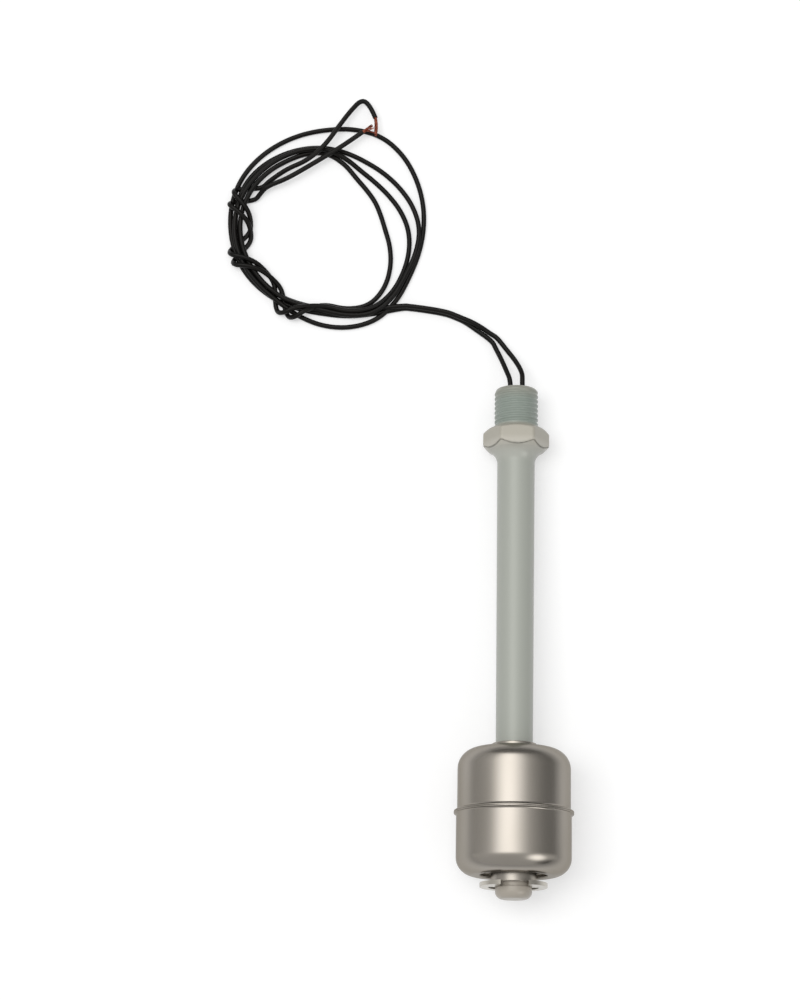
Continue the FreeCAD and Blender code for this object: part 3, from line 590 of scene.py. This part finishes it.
def add_node(tree, kind, settings=None, values=None, links=None):
    """One node with its settings, the values of its sockets and the links into it."""
    node = tree.nodes.new(kind)
    for name, setting in (settings or {}).items():
        setattr(node, name, setting)
    for name, value in (values or {}).items():
        node.inputs[name].default_value = value
    for name, source in (links or {}).items():
        tree.links.new(source, node.inputs[name])
    return node


def new_finish(name, colour, **values):
    """A material with its shader's own sockets set, and its tree, shader and object coordinates."""
    finish = bpy.data.materials.new(name)
    finish.use_nodes = True
    tree = finish.node_tree
    shader = tree.nodes["Principled BSDF"]
    shader.inputs["Base Color"].default_value = linear(colour)
    for socket, value in values.items():
        shader.inputs[socket.replace("_", " ")].default_value = value
    finish.diffuse_color = linear(colour)
    place = add_node(tree, "ShaderNodeTexCoord").outputs["Object"]
    return finish, tree, shader, place


def fill_ramp(ramp, stops):
    """A colour ramp's stops, in rising order: share of the way and colour."""
    elements = ramp.color_ramp.elements
    for number, (share, colour) in enumerate(stops):
        element = elements[number] if number < 2 else elements.new(1.0)
        element.position = share
        element.color = colour


def any_of(tree, first, *others):
    """A socket that is 1 where any of these is 1, such as the kinds of ray that meet a surface."""
    for other in others:
        first = add_node(tree, "ShaderNodeMath", {"operation": "MAXIMUM"}, None, {0: first, 1: other}).outputs[0]
    return first


def per_mm(millimetres):
    """Pattern scale for a spacing given in millimetres."""
    return 1 / (millimetres * MM)


def add_grain(tree, shader, place, spacing, depth, stretch=(1, 1, 1)):
    """Fine relief: noise of that spacing and depth in millimetres, drawn out along an axis if stretched."""
    along = add_node(tree, "ShaderNodeMapping", None, {"Scale": stretch, "Rotation": (AXIS_LEAN, 0, 0)},
                     {"Vector": place})
    noise = add_node(tree, "ShaderNodeTexNoise", None, {"Scale": per_mm(spacing), "Detail": 3.0, "Roughness": 0.6},
                     {"Vector": along.outputs["Vector"]})
    bump = add_node(tree, "ShaderNodeBump", None, {"Strength": 1.0, "Distance": depth * MM},
                    {"Height": noise.outputs[0]})
    tree.links.new(bump.outputs["Normal"], shader.inputs["Normal"])


def add_cast(tree, shader, place, first, second, spacing, stretch=(1, 1, 1)):
    """Two close tones that drift into each other over that spacing in millimetres."""
    along = add_node(tree, "ShaderNodeMapping", None, {"Scale": stretch, "Rotation": (AXIS_LEAN, 0, 0)},
                     {"Vector": place})
    noise = add_node(tree, "ShaderNodeTexNoise", None, {"Scale": per_mm(spacing), "Detail": 2.0},
                     {"Vector": along.outputs["Vector"]})
    blend = add_node(tree, "ShaderNodeValToRGB", None, None, {"Fac": noise.outputs[0]})
    fill_ramp(blend, [(0.35, linear(first)), (0.65, linear(second))])
    tree.links.new(blend.outputs["Color"], shader.inputs["Base Color"])


# Tones along the stem, by millimetres from the float's seam. The paler tones rising from 76.0 to a peak at 80.2, over
# the flare and the collar's under-bevel, are a painted highlight.
STEM_TONES_AND_HIGHLIGHT = [(TIP_REACH, "A69F94"), (-10.0, "A69F94"), (-6.0, "A3A69E"), (76.0, "A3A69E"), (78.2, "ADAEA6"),
              (80.2, "B5B1A6"), (81.4, "A8A498"), (84.2, "A8A498"), (84.8, "8C958D"), (90.0, "8C958D"),
              (STEM_END, "908F84")]


def finish_stem():
    """Moulded polypropylene, filled grey: an even matt body with one thin soft line of light, as moulding leaves it.

    The collar is a little paler and warmer than the shank, the thread a little darker and the tip off-white. The
    flare and under-bevel below the collar are painted paler still, a painted highlight.
    """
    finish, tree, shader, place = new_finish("moulded polypropylene", "A6A8A0", Roughness=0.3, IOR=1.49)
    along = add_node(tree, "ShaderNodeVectorMath", {"operation": "DOT_PRODUCT"}, {1: tuple(AXIS)}, {0: place})
    zero = float(SEAM @ AXIS)
    height = add_node(tree, "ShaderNodeMapRange", None,
                      {"From Min": zero + TIP_REACH * MM, "From Max": zero + STEM_END * MM},
                      {"Value": along.outputs["Value"]})
    tones = add_node(tree, "ShaderNodeValToRGB", None, None, {"Fac": height.outputs[0]})
    fill_ramp(tones, [((mark - TIP_REACH) / (STEM_END - TIP_REACH), linear(tone)) for mark, tone in STEM_TONES_AND_HIGHLIGHT])
    tree.links.new(tones.outputs["Color"], shader.inputs["Base Color"])
    add_grain(tree, shader, place, 0.3, 0.002)
    return finish


def finish_float():
    """Pressed and tumbled stainless sheet: a warm satin that mirrors the room in soft bands."""
    finish, tree, shader, place = new_finish("pressed stainless sheet", "9E9991", Metallic=1.0, Roughness=0.25,
                                             Specular_Tint=(0.6, 0.58, 0.55, 1.0))
    add_cast(tree, shader, place, "A09B94", "9A958D", 9, (1, 0.4, 1))
    add_grain(tree, shader, place, 0.5, 0.0012, (1, 0.25, 1))
    return finish


def finish_clip():
    """Stamped stainless spring steel: paler than the float's sheet, with faint rolling grain."""
    finish, tree, shader, place = new_finish("rolled spring steel", "B9B5AC", Metallic=1.0, Roughness=0.3)
    add_grain(tree, shader, place, 0.3, 0.0015, (0.15, 1, 1))
    return finish


def finish_ferrite():
    """Sintered ferrite: a dark grey ceramic with a fine dry grain."""
    finish, tree, shader, place = new_finish("sintered ferrite", "36363A", Roughness=0.6, IOR=2.2)
    add_grain(tree, shader, place, 0.2, 0.006)
    return finish


def finish_glass():
    """Iron-bearing soft glass of a sealed reed: clear green with a bright gloss."""
    finish, tree, shader, place = new_finish("green reed glass", "BFE3C6", Roughness=0.05, IOR=1.5,
                                             Transmission_Weight=1.0)
    add_grain(tree, shader, place, 1.5, 0.001)
    return finish


def finish_reed():
    """Drawn and flattened nickel-iron: a plain grey metal with lengthwise drawing marks."""
    finish, tree, shader, place = new_finish("drawn nickel iron", "B4AFA6", Metallic=1.0, Roughness=0.32)
    add_grain(tree, shader, place, 0.12, 0.001, (1, 0.1, 1))
    return finish


def finish_copper():
    """Bare soft copper strand, a little oxidised: reddish brown between bright pinkish turns."""
    finish, tree, shader, place = new_finish("bare copper strand", "8A4A36", Metallic=1.0, Roughness=0.4)
    add_cast(tree, shader, place, "9A5B48", "6A2E20", 0.6)
    add_grain(tree, shader, place, 0.1, 0.002)
    return finish


def finish_solder():
    """Tin solder, cooled smooth: bright silver with soft ripples."""
    finish, tree, shader, place = new_finish("tin solder", "CFCFCE", Metallic=1.0, Roughness=0.24)
    add_grain(tree, shader, place, 0.4, 0.004)
    return finish


def finish_sleeve():
    """Shrunk polyolefin sleeve: matt black with a faint ripple where it drew down."""
    finish, tree, shader, place = new_finish("shrunk polyolefin", "1E1E1F", Roughness=0.55, IOR=1.5)
    add_grain(tree, shader, place, 0.7, 0.01)
    return finish


def finish_insulation():
    """Extruded black PVC: nearly black, with the narrow soft line of light that a smooth round wire has."""
    finish, tree, shader, place = new_finish("extruded PVC", "0B0B0A", Roughness=0.34, IOR=1.45,
                                             Specular_IOR_Level=0.17)
    add_cast(tree, shader, place, "0B0B0A", "100E0C", 12)
    add_grain(tree, shader, place, 0.25, 0.002)
    return finish


def finish_resin():
    """Cured epoxy: dark brown, glossy where it levelled itself round the wires."""
    finish, tree, shader, place = new_finish("cured epoxy", "2A221B", Roughness=0.28, IOR=1.55)
    add_grain(tree, shader, place, 1.2, 0.01)
    return finish


def give(finish, *pieces):
    """The finish on each piece, in place of what it came with."""
    for piece in pieces:
        piece.data.materials.clear()
        piece.data.materials.append(finish)


# ---------------------------------------------------------------- floor, room and lamp
def make_floor():
    """A pale matt floor: white to the eye and, near by, in metal, yet with the object's soft shadow on it."""
    mesh = bpy.data.meshes.new("floor")
    reach = FLOOR_REACH
    mesh.from_pydata([(-reach, -reach, 0), (reach, -reach, 0), (reach, reach, 0), (-reach, reach, 0)], [],
                     [(0, 1, 2, 3)])
    floor = bpy.data.objects.new("floor", mesh)
    bpy.context.collection.objects.link(floor)
    finish = bpy.data.materials.new("pale matt floor")
    finish.use_nodes = True
    tree = finish.node_tree
    tree.nodes.clear()
    matt = add_node(tree, "ShaderNodeBsdfDiffuse", None, {"Color": (FLOOR_SHARE, FLOOR_SHARE, FLOOR_SHARE, 1)})
    glow = add_node(tree, "ShaderNodeEmission", None, {"Color": (1, 1, 1, 1), "Strength": FLOOR_GLOW})
    both = add_node(tree, "ShaderNodeAddShader", None, None, {0: matt.outputs[0], 1: glow.outputs[0]})
    path = add_node(tree, "ShaderNodeLightPath")
    near = add_node(tree, "ShaderNodeMapRange", None, {"From Min": FLOOR_NEAR, "From Max": FLOOR_FAR,
                                                       "To Min": 1.0, "To Max": 0.0},
                    {"Value": path.outputs["Ray Length"]})
    mirrored = add_node(tree, "ShaderNodeMath", {"operation": "MULTIPLY"}, None,
                        {0: path.outputs["Is Glossy Ray"], 1: near.outputs[0]})
    seen = any_of(tree, path.outputs["Is Camera Ray"], mirrored.outputs[0], path.outputs["Is Transmission Ray"])
    shown = add_node(tree, "ShaderNodeMixShader", None, None, {0: seen, 1: matt.outputs[0], 2: both.outputs[0]})
    add_node(tree, "ShaderNodeOutputMaterial", None, None, {"Surface": shown.outputs[0]})
    mesh.materials.append(finish)


def room_colour(level, share=1):
    """A level of the room's light as its tinted colour, for a background as strong as the brightest level."""
    return (*(level / ROOM_PEAK * tint for tint in ROOM_TINT), share)


def add_bands(tree, direction):
    """The room's bands: a level for how far a direction leans from overhead to the left or right.

    Towards the bands' two ends, a level for how far the direction leans along them takes over.
    """
    parts = add_node(tree, "ShaderNodeSeparateXYZ", None, None, {0: direction}).outputs
    leaning = add_node(tree, "ShaderNodeMath", {"operation": "ARCTAN2"}, None, {0: parts["X"], 1: parts["Z"]})
    leaning = add_node(tree, "ShaderNodeMapRange", None, {"From Min": -math.pi, "From Max": math.pi},
                       {"Value": leaning.outputs[0]})
    bands = add_node(tree, "ShaderNodeValToRGB", None, None, {"Fac": leaning.outputs[0]})
    fill_ramp(bands, [((degrees + 180) / 360, room_colour(level)) for degrees, level in ROOM_BANDS])
    along = add_node(tree, "ShaderNodeMath", {"operation": "ARCSINE"}, None, {0: parts["Y"]})
    along = add_node(tree, "ShaderNodeMapRange", None, {"From Min": -math.pi / 2, "From Max": math.pi / 2},
                     {"Value": along.outputs[0]})
    ends = add_node(tree, "ShaderNodeValToRGB", None, None, {"Fac": along.outputs[0]})
    fill_ramp(ends, [((degrees + 90) / 180, room_colour(level, share)) for degrees, level, share in ROOM_ENDS])
    return add_node(tree, "ShaderNodeMix", {"data_type": "RGBA"}, None,
                    {MIX_SHARE: ends.outputs["Alpha"], MIX_FIRST: ends.outputs["Color"],
                     MIX_SECOND: bands.outputs["Color"]}).outputs[MIX_RESULT]


def add_patch(tree, direction, room, aim, spread, level):
    """The room with a soft round patch of another level, strongest in its aim and gone at its spread."""
    near = add_node(tree, "ShaderNodeVectorMath", {"operation": "DOT_PRODUCT"},
                    {1: tuple(Vector(aim).normalized())}, {0: direction})
    near = add_node(tree, "ShaderNodeMapRange", {"interpolation_type": "SMOOTHSTEP"},
                    {"From Min": math.cos(math.radians(spread)), "From Max": 1.0}, {"Value": near.outputs["Value"]})
    return add_node(tree, "ShaderNodeMix", {"data_type": "RGBA"}, {MIX_SECOND: room_colour(level)},
                    {MIX_SHARE: near.outputs[0], MIX_FIRST: room}).outputs[MIX_RESULT]


def make_room():
    """The room: even light for matt surfaces, white to the eye, and to gloss a room with light and dark bands."""
    world = bpy.data.worlds.new("room")
    bpy.context.scene.world = world
    world.use_nodes = True
    tree = world.node_tree
    tree.nodes.clear()
    direction = add_node(tree, "ShaderNodeTexCoord").outputs["Generated"]
    room = add_bands(tree, direction)
    for aim, spread, level in ROOM_PATCHES:
        room = add_patch(tree, direction, room, aim, spread, level)
    path = add_node(tree, "ShaderNodeLightPath")
    even = add_node(tree, "ShaderNodeBackground", None, {"Color": (1, 1, 1, 1), "Strength": ROOM_LIGHT})
    mirrored = add_node(tree, "ShaderNodeBackground", None, {"Strength": ROOM_PEAK}, {"Color": room})
    white = add_node(tree, "ShaderNodeBackground", None, {"Color": (1, 1, 1, 1), "Strength": 1.0})
    inner = add_node(tree, "ShaderNodeMixShader", None, None,
                     {0: path.outputs["Is Glossy Ray"], 1: even.outputs[0], 2: mirrored.outputs[0]})
    seen = any_of(tree, path.outputs["Is Camera Ray"], path.outputs["Is Transmission Ray"])
    outer = add_node(tree, "ShaderNodeMixShader", None, None, {0: seen, 1: inner.outputs[0], 2: white.outputs[0]})
    add_node(tree, "ShaderNodeOutputWorld", None, None, {"Surface": outer.outputs[0]})


def make_lamp(name, place, size, power):
    """A rectangular soft lamp at a place in metres, turned towards the middle of the switch."""
    data = bpy.data.lights.new(name, "AREA")
    data.shape = "RECTANGLE"
    data.size, data.size_y = size
    data.energy = power
    lamp = bpy.data.objects.new(name, data)
    lamp.location = place
    lamp.rotation_euler = (LAMP_AIM - Vector(place)).to_track_quat("-Z", "Y").to_euler()
    # Metal sees this lamp in the room's bands instead.
    lamp.visible_glossy = False
    bpy.context.collection.objects.link(lamp)


# ---------------------------------------------------------------- the scene
make_camera()
wire_a, exit_a, route_a = make_wire("a", -1, LEAD_A, coil_points(TURN_A, LIFT_A), WINDING_STARTS_A, TAIL_A)
wire_b, exit_b, route_b = make_wire("b", 1, LEAD_B, coil_points(TURN_B, LIFT_B), WINDING_STARTS_B, TAIL_B)
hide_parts("wire_a_lead", "wire_a_tail", "wire_coil")
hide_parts("wire_b_lead", "wire_b_tail")
copper_a = make_copper_end("a", COPPER_A, 0.9, SPLAY_A)
copper_b = make_copper_end("b", COPPER_B, 0.6, SPLAY_B)
stem = make_stem()
upper, lower, tube = make_float()
nodes = frame["nodes"]
steel = finish_float()
insulation = finish_insulation()
copper = finish_copper()
reed = finish_reed()
spring = finish_clip()
give(finish_stem(), stem)
give(steel, upper, lower, tube)
give(insulation, wire_a, wire_b, nodes["inner_wire_a"], nodes["inner_wire_b"])
give(copper, copper_a, copper_b, nodes["return_wire"])
give(spring, nodes["retaining_clip"], nodes["magnet_retainer_upper"], nodes["magnet_retainer_lower"])
give(reed, nodes["reed_blade_upper"], nodes["reed_blade_lower"])
give(finish_ferrite(), nodes["ring_magnet"])
give(finish_glass(), nodes["reed_glass"])
give(finish_solder(), nodes["solder_joint_a"], nodes["solder_joint_b"])
give(finish_sleeve(), nodes["heat_shrink_a"], nodes["heat_shrink_b"])
give(finish_resin(), nodes["potting_plug"])
spline_length(route_a)
spline_length(route_b)
make_floor()
make_room()
make_lamp("overhead lamp", LAMP_PLACE, LAMP_SIZE, LAMP_POWER)
bpy.context.scene.view_settings.view_transform = "Standard"
